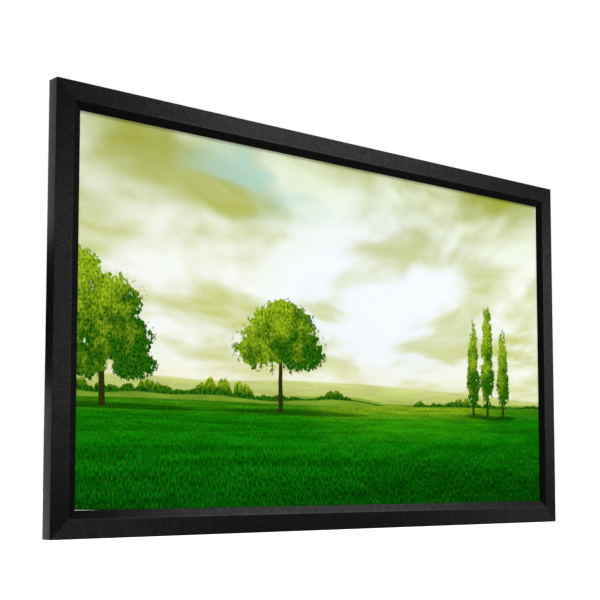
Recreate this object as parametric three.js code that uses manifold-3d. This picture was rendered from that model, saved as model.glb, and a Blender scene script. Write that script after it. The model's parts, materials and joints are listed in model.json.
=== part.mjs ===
import * as THREE from "three";
import { mergeVertices } from "three/addons/utils/BufferGeometryUtils.js";
import Module from "manifold-3d";

// Fixed frame projector screen, 92 inch 16:9. All lengths are in millimetres.
// +Z is up, the picture faces -Y, and +X is to the right of someone who looks at the picture.
// The origin is the middle of the whole screen, halfway between its front face and the wall.
//
// Each side is drawn as the top side is and then turned into place. A place on it is given by
// along (along the rail, from its middle), inset (inward from the rail's outer edge) and
// depth (back from the front face).

// Viewing area
const VIEW_WIDTH = 2037;
const VIEW_HEIGHT = 1145;

// Gap between pieces that touch on the real screen
const SEAT_GAP = 0.3;

// Facets round a screw or its hole, and round a rod or a spring
const SCREW_SIDES = 12;
const ROD_SIDES = 8;

// Frame rails
const RAIL_WIDTH = 80;
const RAIL_DEPTH = 46;
const RAIL_WALL = 1.8;
const EDGE_RADIUS = 1.2;
const BEVEL_WIDTH = 24;
const BEVEL_DROP = 7;
const NOSE_LENGTH = 5;
const CHANNEL_WIDTH = 24;
const CHANNEL_DEPTH = 4.4;
const CHANNEL_LIP = 8.2;
const RIB_OFFSET = 8.4;
const RIB_TOE = 1.6;

// Corner plates and their set screws
const PLATE_ARM = 125;
const SET_SCREW_RADIUS = 3;
const SET_SCREW_LENGTH = 5.2;
const SET_SCREW_SOCKET = 3;
const SET_SCREW_SOCKET_DEPTH = 2.6;
const SET_SCREW_TO_ARM_END = 21;
const SET_SCREW_SPREAD = 52;

// Projection fabric with its sleeves
const FABRIC_THICKNESS = 0.5;
const SLEEVE_REACH = 6.5;
const SEAM_WIDTH = 6;
const NOTCH_WIDTH = 26;
const NOTCH_CLEARANCE = 2;

// Tension rods and their springs
const ROD_RADIUS = 2.5;
const ROD_TO_EDGE = 20;
const ROD_END_GAP = 92;
const ROD_PROUD = 10;
const SPRING_PITCH = 190;
const SPRING_END_MARGIN = 45;
const SPRING_WIRE = 1.6;
const SPRING_HOOK_REACH = 6;
const COIL_RADIUS = 3;
const COIL_LENGTH = 12;
const COIL_TO_ROD = 7;

// Support bar and its angle brackets
const BAR_WIDTH = 30;
const BAR_THICKNESS = 12;
const BAR_WALL = 1.5;
const BAR_TO_FABRIC = 12;
const ANGLE_WIDTH = 56;
const ANGLE_THICKNESS = 2;
const ANGLE_WALL_LEG = 18;
const ANGLE_BAR_LEG = 34;
const ANGLE_SCREW_SPREAD = 40;
const BAR_SCREW_SPREAD = 14;

// Pan head screws
const PAN_SHANK_RADIUS = 2;
const PAN_SHANK_LENGTH = 5;
const PAN_HEAD_RADIUS = 4;
const PAN_HEAD_HEIGHT = 2.4;
const PAN_CROWN_RADIUS = 2.8;
const PAN_CROWN_HEIGHT = 1.1;
const PAN_SOCKET = 2.5;
const PAN_SOCKET_DEPTH = 1.4;

// Wall brackets
const WALL_BRACKET_PLACE = 600;
const WALL_BRACKET_WIDTH = 90;
const WALL_BRACKET_HEIGHT = 56;
const WALL_BRACKET_THICKNESS = 2.4;
const WALL_TONGUE = 6;
const WALL_GAP = 1.6;
const WALL_SLOT_WIDTH = 5.5;
const WALL_SLOT_LENGTH = 16;
const WALL_SLOT_SPREAD = 54;

// Outer size
const OUTER_WIDTH = VIEW_WIDTH + 2 * RAIL_WIDTH;
const OUTER_HEIGHT = VIEW_HEIGHT + 2 * RAIL_WIDTH;
const TOTAL_DEPTH = RAIL_DEPTH + WALL_GAP + WALL_BRACKET_THICKNESS;
const FRONT_Y = -TOTAL_DEPTH / 2;

// Insets and depths of the rail's channel at the back
const CHANNEL_START = RAIL_WALL;
const CHANNEL_END = CHANNEL_START + CHANNEL_WIDTH;
const INNER_WALL_END = CHANNEL_END + RAIL_WALL;
const SLOT_START = CHANNEL_START + CHANNEL_LIP;
const SLOT_END = CHANNEL_END - CHANNEL_LIP;
const CHANNEL_ROOF = RAIL_DEPTH - RAIL_WALL;
const CHANNEL_FLOOR = CHANNEL_ROOF - CHANNEL_DEPTH;

// Depths of the fabric, the rod behind it and the rib that the springs hook on
const FABRIC_FRONT = BEVEL_DROP + NOSE_LENGTH + SEAT_GAP;
const FABRIC_BACK = FABRIC_FRONT + FABRIC_THICKNESS;
const SLEEVE_RADIUS = ROD_RADIUS + SEAT_GAP;
const ROD_INSET = RAIL_WIDTH - ROD_TO_EDGE;
const ROD_DEPTH = FABRIC_BACK + SLEEVE_RADIUS;
const RIB_START = INNER_WALL_END + RIB_OFFSET;
const RIB_END_DEPTH = ROD_DEPTH - SPRING_WIRE / 2 - SEAT_GAP;

// The support bar, from the fabric back, and the angle bracket behind it
const BAR_FRONT = FABRIC_BACK + BAR_TO_FABRIC;
const BAR_BACK = BAR_FRONT + BAR_THICKNESS;
const ANGLE_FRONT = BAR_BACK + SEAT_GAP;
const ANGLE_BACK = ANGLE_FRONT + ANGLE_THICKNESS;
const ANGLE_START = INNER_WALL_END + SEAT_GAP;
const ANGLE_LEG_END = ANGLE_START + ANGLE_THICKNESS;
const BAR_START = ANGLE_LEG_END + SEAT_GAP;
const PAN_HOLE_RADIUS = PAN_SHANK_RADIUS + SEAT_GAP;
const WALL_SCREW_DEPTH = ANGLE_BACK - ANGLE_WALL_LEG / 2;
const BAR_SCREW_INSET = (BAR_START + ANGLE_START + ANGLE_BAR_LEG) / 2;

const finishes = {
  velvet: { color: 0x1b1b1d, roughness: 0.95, metalness: 0 },
  zinc: { color: 0xa9abae, roughness: 0.42, metalness: 0.9 },
  screw: { color: 0x3a3b3e, roughness: 0.4, metalness: 0.85 },
  fabric: { color: 0xeeeeea, roughness: 0.9, metalness: 0 },
  glassFibre: { color: 0xd8cfae, roughness: 0.5, metalness: 0 },
  blackMetal: { color: 0x222325, roughness: 0.55, metalness: 0.3 },
  aluminium: { color: 0xb7b9bc, roughness: 0.38, metalness: 0.95 },
};

const wasm = await Module();
wasm.setup();

function solidOf(geometry) {
  const bare = new THREE.BufferGeometry();
  bare.setAttribute("position", geometry.getAttribute("position"));
  bare.setIndex(geometry.getIndex());
  const merged = mergeVertices(bare, 1e-4);
  const vertProperties = new Float32Array(merged.getAttribute("position").array);
  const triVerts = new Uint32Array(merged.getIndex().array);
  return new wasm.Manifold(new wasm.Mesh({ numProp: 3, vertProperties, triVerts }));
}

function geometryOf(solid) {
  const { vertProperties, triVerts } = solid.getMesh();
  const geometry = new THREE.BufferGeometry();
  geometry.setAttribute("position", new THREE.BufferAttribute(vertProperties, 3));
  geometry.setIndex(new THREE.BufferAttribute(triVerts, 1));
  return geometry;
}

function join(geometries) {
  return geometryOf(geometries.map(solidOf).reduce((whole, next) => whole.add(next)));
}

function cut(geometry, cutters) {
  return geometryOf(cutters.map(solidOf).reduce((left, cutter) => left.subtract(cutter), solidOf(geometry)));
}

function mesh(name, geometry, finish) {
  const made = new THREE.Mesh(geometry, new THREE.MeshStandardMaterial(finishes[finish]));
  made.name = name;
  return made;
}

function polygon(points) {
  return new THREE.Shape(points.map(([x, y]) => new THREE.Vector2(x, y)));
}

function extrude(shape, length, curveSegments = 3) {
  return new THREE.ExtrudeGeometry(shape, { depth: length, bevelEnabled: false, curveSegments });
}

// A section drawn in (inset, depth), run along the side from start to end
function runAlong(section, start, end, edge) {
  return extrude(section, end - start).rotateY(Math.PI / 2).translate(start, FRONT_Y, edge);
}

// An outline drawn in (along, inset), as a plate between two depths
function plateBetween(outline, front, back, edge) {
  return extrude(outline, back - front).rotateX(-Math.PI / 2).translate(0, FRONT_Y + front, edge);
}

// A round bar whose axis runs in the inset direction
function pegInward(radius, start, end, along, depth, edge, facets = SCREW_SIDES) {
  return new THREE.CylinderGeometry(radius, radius, end - start, facets)
    .rotateX(Math.PI / 2)
    .translate(along, FRONT_Y + depth, edge - (start + end) / 2);
}

// A round bar whose axis runs from front to back
function pegThrough(radius, front, back, along, inset, edge) {
  return new THREE.CylinderGeometry(radius, radius, back - front, SCREW_SIDES)
    .translate(along, FRONT_Y + (front + back) / 2, edge - inset);
}

// A round bar whose axis runs along the side
function pegAlong(radius, start, end, inset, depth, edge) {
  return new THREE.CylinderGeometry(radius, radius, end - start, ROD_SIDES)
    .rotateZ(Math.PI / 2)
    .translate((start + end) / 2, FRONT_Y + depth, edge - inset);
}

// Frame rails: a flat front with a bevelled inner edge, a closed chamber, and a slotted channel at the back
function railSection() {
  const flatEnd = RAIL_WIDTH - BEVEL_WIDTH;
  const noseBack = BEVEL_DROP + NOSE_LENGTH;
  const noseInside = RAIL_WIDTH - RAIL_WALL;
  const ribEnd = RIB_START + RAIL_WALL;
  const toeStart = RIB_START - RIB_TOE;
  const section = new THREE.Shape();
  section.absarc(EDGE_RADIUS, EDGE_RADIUS, EDGE_RADIUS, Math.PI, 1.5 * Math.PI, false);
  const turns = [
    [flatEnd, 0], [RAIL_WIDTH, BEVEL_DROP], [RAIL_WIDTH, noseBack], [noseInside, noseBack],
    [noseInside, RAIL_WALL + BEVEL_DROP * (1 - RAIL_WALL / BEVEL_WIDTH)], [flatEnd, RAIL_WALL],
    [ribEnd, RAIL_WALL], [ribEnd, RIB_END_DEPTH], [toeStart, RIB_END_DEPTH],
    [toeStart, RIB_END_DEPTH - RAIL_WALL], [RIB_START, RIB_END_DEPTH - RAIL_WALL], [RIB_START, RAIL_WALL],
    [INNER_WALL_END, RAIL_WALL], [INNER_WALL_END, RAIL_DEPTH], [SLOT_END, RAIL_DEPTH],
    [SLOT_END, CHANNEL_ROOF], [CHANNEL_END, CHANNEL_ROOF], [CHANNEL_END, CHANNEL_FLOOR],
    [CHANNEL_START, CHANNEL_FLOOR], [CHANNEL_START, CHANNEL_ROOF], [SLOT_START, CHANNEL_ROOF],
    [SLOT_START, RAIL_DEPTH], [0, RAIL_DEPTH],
  ];
  turns.forEach(([inset, depth]) => section.lineTo(inset, depth));
  section.closePath();
  const chamberBack = CHANNEL_FLOOR - RAIL_WALL;
  section.holes.push(polygon([
    [CHANNEL_START, RAIL_WALL], [CHANNEL_END, RAIL_WALL],
    [CHANNEL_END, chamberBack], [CHANNEL_START, chamberBack],
  ]));
  return section;
}

// A rail of unit length is stretched to its mitres: each end lies at 45 degrees
function railGeometry(length, edge, hasBar) {
  const geometry = runAlong(railSection(), 0, 1, edge);
  const position = geometry.getAttribute("position");
  const seam = SEAT_GAP * Math.SQRT1_2;
  for (let i = 0; i < position.count; i += 1) {
    const inset = edge - position.getZ(i);
    const reach = length / 2 - inset - seam;
    position.setX(i, position.getX(i) < 0.5 ? -reach : reach);
  }
  return hasBar ? cut(geometry, angleWallHoles(edge)) : geometry;
}

// Tension rods with their springs
function springPlaces(length) {
  const usable = length - 2 * (ROD_END_GAP + SPRING_END_MARGIN);
  const count = Math.max(2, Math.floor(usable / SPRING_PITCH) + 1);
  return Array.from({ length: count }, (_, i) => (i - (count - 1) / 2) * SPRING_PITCH);
}

function springSection() {
  const hookInner = RIB_START - RIB_TOE - SEAT_GAP;
  const hookOuter = hookInner - SPRING_WIRE;
  const wireFront = ROD_DEPTH - SPRING_WIRE / 2;
  const wireBack = ROD_DEPTH + SPRING_WIRE / 2;
  const hookTip = RIB_END_DEPTH - SPRING_HOOK_REACH;
  return polygon([
    [hookInner, hookTip], [hookInner, wireFront], [ROD_INSET, wireFront], [ROD_INSET, wireBack],
    [hookInner, wireBack], [hookOuter, wireFront], [hookOuter, hookTip],
  ]);
}

function springPieces(along, edge) {
  const coilEnd = ROD_INSET - COIL_TO_ROD;
  const half = SPRING_WIRE / 2;
  return [
    runAlong(springSection(), along - half, along + half, edge),
    pegAlong(ROD_RADIUS + SPRING_WIRE, along - half, along + half, ROD_INSET, ROD_DEPTH, edge),
    pegInward(COIL_RADIUS, coilEnd - COIL_LENGTH, coilEnd, along, ROD_DEPTH, edge, ROD_SIDES),
  ];
}

function tensionRodGeometry(length, edge) {
  const end = length / 2 - ROD_END_GAP;
  const rod = pegAlong(ROD_RADIUS, -end, end, ROD_INSET, ROD_DEPTH, edge);
  return join([rod, ...springPlaces(length).flatMap((along) => springPieces(along, edge))]);
}

// Projection fabric: a flat sheet whose edges fold back round the rods and are welded to it
function sleeveSection() {
  const lean = 2 * Math.atan(SLEEVE_RADIUS / SLEEVE_REACH);
  const arcEnd = Math.PI / 2 - lean;
  const outerRadius = SLEEVE_RADIUS + FABRIC_THICKNESS;
  const seamStart = ROD_INSET + SLEEVE_REACH;
  const seamEnd = seamStart + SEAM_WIDTH;
  const flapBack = FABRIC_BACK + FABRIC_THICKNESS;
  const leaveInset = ROD_INSET + outerRadius * Math.cos(arcEnd);
  const leaveDepth = ROD_DEPTH + outerRadius * Math.sin(arcEnd);
  const section = new THREE.Shape();
  section.absarc(ROD_INSET, ROD_DEPTH, outerRadius, -Math.PI / 2, arcEnd, true);
  section.lineTo(leaveInset + (leaveDepth - flapBack) / Math.tan(lean), flapBack);
  section.lineTo(seamEnd, flapBack);
  section.lineTo(seamEnd, FABRIC_FRONT);
  section.closePath();
  const inside = new THREE.Path();
  inside.absarc(ROD_INSET, ROD_DEPTH, SLEEVE_RADIUS, arcEnd, 1.5 * Math.PI, false);
  inside.lineTo(seamStart, FABRIC_BACK);
  inside.closePath();
  section.holes.push(inside);
  return section;
}

// The sleeve is left out where a spring takes hold of the rod
function sleevePieces(length, edge) {
  const end = length / 2 - ROD_END_GAP - ROD_PROUD;
  const places = springPlaces(length);
  const starts = [-end, ...places.map((along) => along + NOTCH_WIDTH / 2)];
  const ends = [...places.map((along) => along - NOTCH_WIDTH / 2), end];
  return starts.map((start, i) => runAlong(sleeveSection(), start, ends[i], edge));
}

function fabricGeometry() {
  const inset = ROD_INSET + ROD_RADIUS + SPRING_WIRE + NOTCH_CLEARANCE;
  const sheet = new THREE.BoxGeometry(OUTER_WIDTH - 2 * inset, FABRIC_THICKNESS, OUTER_HEIGHT - 2 * inset)
    .translate(0, FRONT_Y + (FABRIC_FRONT + FABRIC_BACK) / 2, 0);
  const sleeves = sides.flatMap(({ length, edge, turn }) => (
    sleevePieces(length, edge).map((piece) => piece.rotateY(turn))
  ));
  return join([sheet, ...sleeves]);
}

// Screws: the head's top lies at y = 0 and the shank points to -Y
function screwGeometry(profile, socketWidth, socketDepth) {
  const body = new THREE.LatheGeometry(profile.map(([x, y]) => new THREE.Vector2(x, y)), SCREW_SIDES);
  const socketRadius = socketWidth / 2 / Math.cos(Math.PI / 6);
  return cut(body, [new THREE.CylinderGeometry(socketRadius, socketRadius, 2 * socketDepth, 6)]);
}

function setScrewGeometry() {
  const profile = [
    [0, -SET_SCREW_LENGTH], [SET_SCREW_RADIUS, -SET_SCREW_LENGTH], [SET_SCREW_RADIUS, 0], [0, 0],
  ];
  return screwGeometry(profile, SET_SCREW_SOCKET, SET_SCREW_SOCKET_DEPTH);
}

function panScrewGeometry() {
  const tip = -PAN_HEAD_HEIGHT - PAN_SHANK_LENGTH;
  const profile = [
    [0, tip], [PAN_SHANK_RADIUS, tip], [PAN_SHANK_RADIUS, -PAN_HEAD_HEIGHT],
    [PAN_HEAD_RADIUS, -PAN_HEAD_HEIGHT], [PAN_HEAD_RADIUS, -PAN_CROWN_HEIGHT], [PAN_CROWN_RADIUS, 0], [0, 0],
  ];
  return screwGeometry(profile, PAN_SOCKET, PAN_SOCKET_DEPTH);
}

// Corner plates, drawn from the frame's outer corner
const plateFront = CHANNEL_FLOOR + SEAT_GAP;
const plateBack = CHANNEL_ROOF - SEAT_GAP;
const plateMiddle = (CHANNEL_START + CHANNEL_END) / 2;
const lastSetScrew = PLATE_ARM - SET_SCREW_TO_ARM_END;
const setScrewSpots = [lastSetScrew - SET_SCREW_SPREAD, lastSetScrew]
  .flatMap((place) => [[place, plateMiddle], [plateMiddle, place]]);

function cornerPlateGeometry() {
  const outer = CHANNEL_START + SEAT_GAP;
  const inner = CHANNEL_END - SEAT_GAP;
  const outline = polygon([
    [outer, outer], [PLATE_ARM, outer], [PLATE_ARM, inner],
    [inner, inner], [inner, PLATE_ARM], [outer, PLATE_ARM],
  ]);
  const holes = setScrewSpots.map(([x, z]) => (
    pegThrough(SET_SCREW_RADIUS + SEAT_GAP, CHANNEL_FLOOR, CHANNEL_ROOF, x, z, 0)
  ));
  return cut(plateBetween(outline, plateFront, plateBack, 0), holes);
}

// Support bar and angle brackets
const wallScrewPlaces = [-ANGLE_SCREW_SPREAD / 2, ANGLE_SCREW_SPREAD / 2];
const barScrewInsets = [BAR_SCREW_INSET - BAR_SCREW_SPREAD / 2, BAR_SCREW_INSET + BAR_SCREW_SPREAD / 2];

function angleWallHoles(edge) {
  const start = CHANNEL_END - RAIL_WALL;
  const end = ANGLE_LEG_END + RAIL_WALL;
  return wallScrewPlaces.map((along) => (
    pegInward(PAN_HOLE_RADIUS, start, end, along, WALL_SCREW_DEPTH, edge)
  ));
}

function angleBarHoles(edge) {
  return barScrewInsets.map((inset) => (
    pegThrough(PAN_HOLE_RADIUS, BAR_BACK - 2 * BAR_WALL, ANGLE_BACK + BAR_WALL, 0, inset, edge)
  ));
}

function angleGeometry(edge) {
  const section = polygon([
    [ANGLE_START, ANGLE_BACK - ANGLE_WALL_LEG], [ANGLE_LEG_END, ANGLE_BACK - ANGLE_WALL_LEG],
    [ANGLE_LEG_END, ANGLE_FRONT], [ANGLE_START + ANGLE_BAR_LEG, ANGLE_FRONT],
    [ANGLE_START + ANGLE_BAR_LEG, ANGLE_BACK], [ANGLE_START, ANGLE_BACK],
  ]);
  const blank = runAlong(section, -ANGLE_WIDTH / 2, ANGLE_WIDTH / 2, edge);
  return cut(blank, [...angleWallHoles(edge), ...angleBarHoles(edge)]);
}

function barGeometry() {
  const edge = OUTER_HEIGHT / 2;
  const half = BAR_WIDTH / 2;
  const hollow = half - BAR_WALL;
  const section = polygon([[-half, BAR_FRONT], [half, BAR_FRONT], [half, BAR_BACK], [-half, BAR_BACK]]);
  section.holes.push(polygon([
    [-hollow, BAR_FRONT + BAR_WALL], [hollow, BAR_FRONT + BAR_WALL],
    [hollow, BAR_BACK - BAR_WALL], [-hollow, BAR_BACK - BAR_WALL],
  ]));
  const tube = extrude(section, OUTER_HEIGHT - 2 * BAR_START).translate(0, FRONT_Y, BAR_START - edge);
  const holes = [0, Math.PI].flatMap((turn) => angleBarHoles(edge).map((hole) => hole.rotateY(turn)));
  return cut(tube, holes);
}

// Wall brackets: a plate on the wall whose tongue stands behind the rail's channel lip
const tongueMiddle = (CHANNEL_FLOOR + CHANNEL_ROOF) / 2;
const wallSlotInset = SLOT_START + SEAT_GAP + (WALL_BRACKET_THICKNESS + WALL_BRACKET_HEIGHT) / 2;

function wallSlot(along, edge) {
  const radius = WALL_SLOT_WIDTH / 2;
  const reach = WALL_SLOT_LENGTH / 2 - radius;
  const outline = new THREE.Shape();
  outline.absarc(along, wallSlotInset + reach, radius, 0, Math.PI, false);
  outline.absarc(along, wallSlotInset - reach, radius, Math.PI, 2 * Math.PI, false);
  return plateBetween(outline, RAIL_DEPTH, TOTAL_DEPTH + WALL_GAP, edge);
}

function wallBracketGeometry(edge) {
  const shelf = SLOT_START + SEAT_GAP;
  const shelfEnd = shelf + WALL_BRACKET_THICKNESS;
  const tongueFront = tongueMiddle - WALL_BRACKET_THICKNESS / 2;
  const tongueBack = tongueMiddle + WALL_BRACKET_THICKNESS / 2;
  const tongueTip = SLOT_START - WALL_TONGUE;
  const section = polygon([
    [shelf, TOTAL_DEPTH], [shelf + WALL_BRACKET_HEIGHT, TOTAL_DEPTH],
    [shelf + WALL_BRACKET_HEIGHT, TOTAL_DEPTH - WALL_BRACKET_THICKNESS],
    [shelfEnd, TOTAL_DEPTH - WALL_BRACKET_THICKNESS], [shelfEnd, tongueFront], [tongueTip, tongueFront],
    [tongueTip, tongueBack], [shelf, tongueBack],
  ]);
  const blank = runAlong(section, -WALL_BRACKET_WIDTH / 2, WALL_BRACKET_WIDTH / 2, edge);
  const slots = [-WALL_SLOT_SPREAD / 2, WALL_SLOT_SPREAD / 2].map((along) => wallSlot(along, edge));
  return cut(blank, slots);
}

// The four sides and the four corners, each with its turn about the front-to-back axis
const sides = [
  { name: "top", length: OUTER_WIDTH, edge: OUTER_HEIGHT / 2, turn: 0, hasBar: true },
  { name: "right", length: OUTER_HEIGHT, edge: OUTER_WIDTH / 2, turn: Math.PI / 2, hasBar: false },
  { name: "bottom", length: OUTER_WIDTH, edge: OUTER_HEIGHT / 2, turn: Math.PI, hasBar: true },
  { name: "left", length: OUTER_HEIGHT, edge: OUTER_WIDTH / 2, turn: -Math.PI / 2, hasBar: false },
];
const corners = [
  { name: "top_left", x: -1, z: 1, turn: 0 },
  { name: "top_right", x: 1, z: 1, turn: Math.PI / 2 },
  { name: "bottom_right", x: 1, z: -1, turn: Math.PI },
  { name: "bottom_left", x: -1, z: -1, turn: -Math.PI / 2 },
];

function makeSide({ name, length, edge, turn, hasBar }) {
  const side = new THREE.Group();
  side.add(mesh(`frame_rail_${name}`, railGeometry(length, edge, hasBar), "velvet"));
  side.add(mesh(`tension_rod_${name}`, tensionRodGeometry(length, edge), "glassFibre"));
  side.rotation.y = turn;
  return side;
}

function makeCorner({ name, x, z, turn }) {
  const corner = new THREE.Group();
  corner.add(mesh(`corner_plate_${name}`, cornerPlateGeometry(), "zinc"));
  setScrewSpots.forEach(([along, inset], i) => {
    const screw = mesh(`corner_screw_${name}_${i + 1}`, setScrewGeometry(), "screw");
    screw.position.set(along, FRONT_Y + plateFront + SET_SCREW_LENGTH, -inset);
    corner.add(screw);
  });
  corner.position.set(x * OUTER_WIDTH / 2, 0, z * OUTER_HEIGHT / 2);
  corner.rotation.y = turn;
  return corner;
}

function makeBarEnd({ name, edge, turn }) {
  const end = new THREE.Group();
  end.add(mesh(`support_angle_${name}`, angleGeometry(edge), "zinc"));
  const headTop = SEAT_GAP + PAN_HEAD_HEIGHT;
  wallScrewPlaces.forEach((along, i) => {
    const screw = mesh(`support_screw_${name}_wall_${i + 1}`, panScrewGeometry(), "screw");
    screw.position.set(along, FRONT_Y + WALL_SCREW_DEPTH, edge - ANGLE_LEG_END - headTop);
    screw.rotation.x = -Math.PI / 2;
    end.add(screw);
  });
  barScrewInsets.forEach((inset, i) => {
    const screw = mesh(`support_screw_${name}_bar_${i + 1}`, panScrewGeometry(), "screw");
    screw.position.set(0, FRONT_Y + ANGLE_BACK + headTop, edge - inset);
    end.add(screw);
  });
  end.rotation.y = turn;
  return end;
}

function makeWallBrackets({ name, edge, turn }) {
  const pair = new THREE.Group();
  const order = turn === 0 ? ["left", "right"] : ["right", "left"];
  order.forEach((hand, i) => {
    const bracket = mesh(`wall_bracket_${name}_${hand}`, wallBracketGeometry(edge), "aluminium");
    bracket.position.x = (2 * i - 1) * WALL_BRACKET_PLACE;
    pair.add(bracket);
  });
  pair.rotation.y = turn;
  return pair;
}

const screen = new THREE.Group();
const barSides = sides.filter(({ hasBar }) => hasBar);
sides.forEach((side) => screen.add(makeSide(side)));
corners.forEach((corner) => screen.add(makeCorner(corner)));
screen.add(mesh("projection_fabric", fabricGeometry(), "fabric"));
screen.add(mesh("support_bar", barGeometry(), "blackMetal"));
barSides.forEach((side) => screen.add(makeBarEnd(side), makeWallBrackets(side)));

export default screen;
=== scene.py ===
import json
import math

import bmesh
import bpy
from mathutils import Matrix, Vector
from mathutils.geometry import tessellate_polygon

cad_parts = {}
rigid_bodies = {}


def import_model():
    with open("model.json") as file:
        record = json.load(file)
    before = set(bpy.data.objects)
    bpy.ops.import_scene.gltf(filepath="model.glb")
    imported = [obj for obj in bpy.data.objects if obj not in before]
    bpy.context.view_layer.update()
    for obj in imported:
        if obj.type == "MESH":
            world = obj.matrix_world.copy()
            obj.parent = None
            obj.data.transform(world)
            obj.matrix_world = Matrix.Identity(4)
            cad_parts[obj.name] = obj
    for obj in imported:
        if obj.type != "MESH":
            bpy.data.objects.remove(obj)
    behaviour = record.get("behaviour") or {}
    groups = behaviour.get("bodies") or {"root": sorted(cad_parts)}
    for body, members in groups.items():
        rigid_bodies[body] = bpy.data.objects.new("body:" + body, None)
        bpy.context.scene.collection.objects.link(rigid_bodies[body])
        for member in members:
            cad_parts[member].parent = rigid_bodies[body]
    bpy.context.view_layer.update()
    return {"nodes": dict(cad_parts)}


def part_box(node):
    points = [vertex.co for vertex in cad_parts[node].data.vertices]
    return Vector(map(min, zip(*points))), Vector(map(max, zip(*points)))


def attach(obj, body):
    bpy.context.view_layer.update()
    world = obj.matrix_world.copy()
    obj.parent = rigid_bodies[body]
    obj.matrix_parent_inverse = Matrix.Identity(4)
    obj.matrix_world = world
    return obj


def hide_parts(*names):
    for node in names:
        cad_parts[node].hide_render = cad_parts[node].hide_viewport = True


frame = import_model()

# Fixed frame projector screen. Lengths are in metres, +Z is up and the picture faces -Y.
#
# A place on one side of the frame is given by along (from the side's middle), inset (inward
# from the frame's outer edge) and depth (back from the front face).

# Sizes read from the frame
rail_low, rail_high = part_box("frame_rail_top")
HALF_WIDTH = rail_high.x
HALF_HEIGHT = rail_high.z
RAIL_WIDTH = rail_high.z - rail_low.z
FRONT_Y = rail_low.y
VIEW_WIDTH = 2 * (HALF_WIDTH - RAIL_WIDTH)
VIEW_HEIGHT = 2 * (HALF_HEIGHT - RAIL_WIDTH)

# Camera: the photograph's place and direction. The shift takes up part of the rise, so that
# the frame's sides stay nearly upright.
CAMERA_PLACE = (-2.829, -3.138, -0.474)
CAMERA_YAW = math.radians(40.2)
CAMERA_PITCH = math.radians(4.547)
CAMERA_LENS = 75.7
CAMERA_SHIFT = 0.125

# Rails: velvet over the front and round onto the outer side, bare profile behind
RAIL_WALL = 0.0018
RAIL_DEPTH = 0.046
FLAT_WIDTH = 0.056
BEVEL_DROP = 0.007
NOSE_BACK = 0.012
CHANNEL_END = 0.0258
INNER_WALL_END = CHANNEL_END + RAIL_WALL
SLOT_START = 0.0100
SLOT_END = 0.0176
CHANNEL_ROOF = RAIL_DEPTH - RAIL_WALL
CHANNEL_FLOOR = 0.0398
RIB_START = 0.0360
RIB_END_DEPTH = 0.0145
RIB_TOE = 0.0016
WRAP_END = 0.0030
WRAP_THICKNESS = 0.00025
MITRE_GROOVE = 0.0003
ROUND_STEPS = 4
FINE_ROUND = 0.0003
SOFT_ROUND = 0.0008
OUTER_ROUND = 0.0012
FOLD_ROUND = 0.002

# Tension rods and their springs
ROD_RADIUS = 0.0025
ROD_INSET = 0.060
ROD_DEPTH = 0.0156
ROD_END_GAP = 0.092
ROD_CHAMFER = 0.0004
ROD_SIDES = 24
SPRING_PITCH = 0.190
SPRING_END_MARGIN = 0.045
WIRE_RADIUS = 0.0008
WIRE_SIDES = 8
HOOK_INSET = 0.0333
HOOK_TIP_DEPTH = 0.0086
HOOK_BEND = 0.0014
HOOK_STEPS = 5
COIL_LEAD = 0.0022
COIL_RADIUS = 0.0022
COIL_START = 0.041
COIL_END = 0.053
COIL_TURNS = 6
COIL_STEPS = 14
RING_RADIUS = 0.0033
RING_LEAD = 0.0548
RING_STEPS = 24
RING_OPENING = 0.75
RING_ASIDE = 1.2

# Projection fabric
FABRIC_THICKNESS = 0.0005
FABRIC_DEPTH = 0.01255
FABRIC_INSET = 0.0661
ROD_CLEARANCE = 0.0003
SLEEVE_RADIUS = ROD_RADIUS + ROD_CLEARANCE + FABRIC_THICKNESS / 2
SLEEVE_REACH = 0.0065
SLEEVE_LEAN = 2 * math.atan((ROD_RADIUS + ROD_CLEARANCE) / SLEEVE_REACH)
SLEEVE_STEPS = 12
SEAM_GAP = 0.00005
SEAM_DEPTH = FABRIC_DEPTH + FABRIC_THICKNESS + SEAM_GAP
SEAM_END = 0.0725
SLEEVE_TO_ROD_END = 0.010
NOTCH_WIDTH = 0.026
SHEET_HALF_WIDTH = HALF_WIDTH - FABRIC_INSET
SHEET_HALF_HEIGHT = HALF_HEIGHT - FABRIC_INSET

# The four sides: length, distance of the outer edge from the middle, and turn about Y
SIDES = {
    "top": (2 * HALF_WIDTH, HALF_HEIGHT, 0.0),
    "right": (2 * HALF_HEIGHT, HALF_WIDTH, math.pi / 2),
    "bottom": (2 * HALF_WIDTH, HALF_HEIGHT, math.pi),
    "left": (2 * HALF_HEIGHT, HALF_WIDTH, -math.pi / 2),
}
UPRIGHT_SIDES = ("left", "right")


def side_point(side, along, inset, depth):
    """The place in the frame's own space of a point given on one side."""
    _, edge, turn = SIDES[side]
    across = edge - inset
    cos, sin = math.cos(turn), math.sin(turn)
    return Vector((along * cos + across * sin, FRONT_Y + depth, across * cos - along * sin))


def side_direction(side, inset, depth):
    """A direction given by its parts inward and back."""
    return side_point(side, 0.0, inset, depth) - side_point(side, 0.0, 0.0, 0.0)


def aimed(direction):
    """The rotation that turns a camera or a lamp to look along a direction."""
    return direction.to_track_quat("-Z", "Y").to_euler()


def new_object(name, data):
    """An object in the scene."""
    made = bpy.data.objects.new(name, data)
    bpy.context.scene.collection.objects.link(made)
    return made


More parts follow.
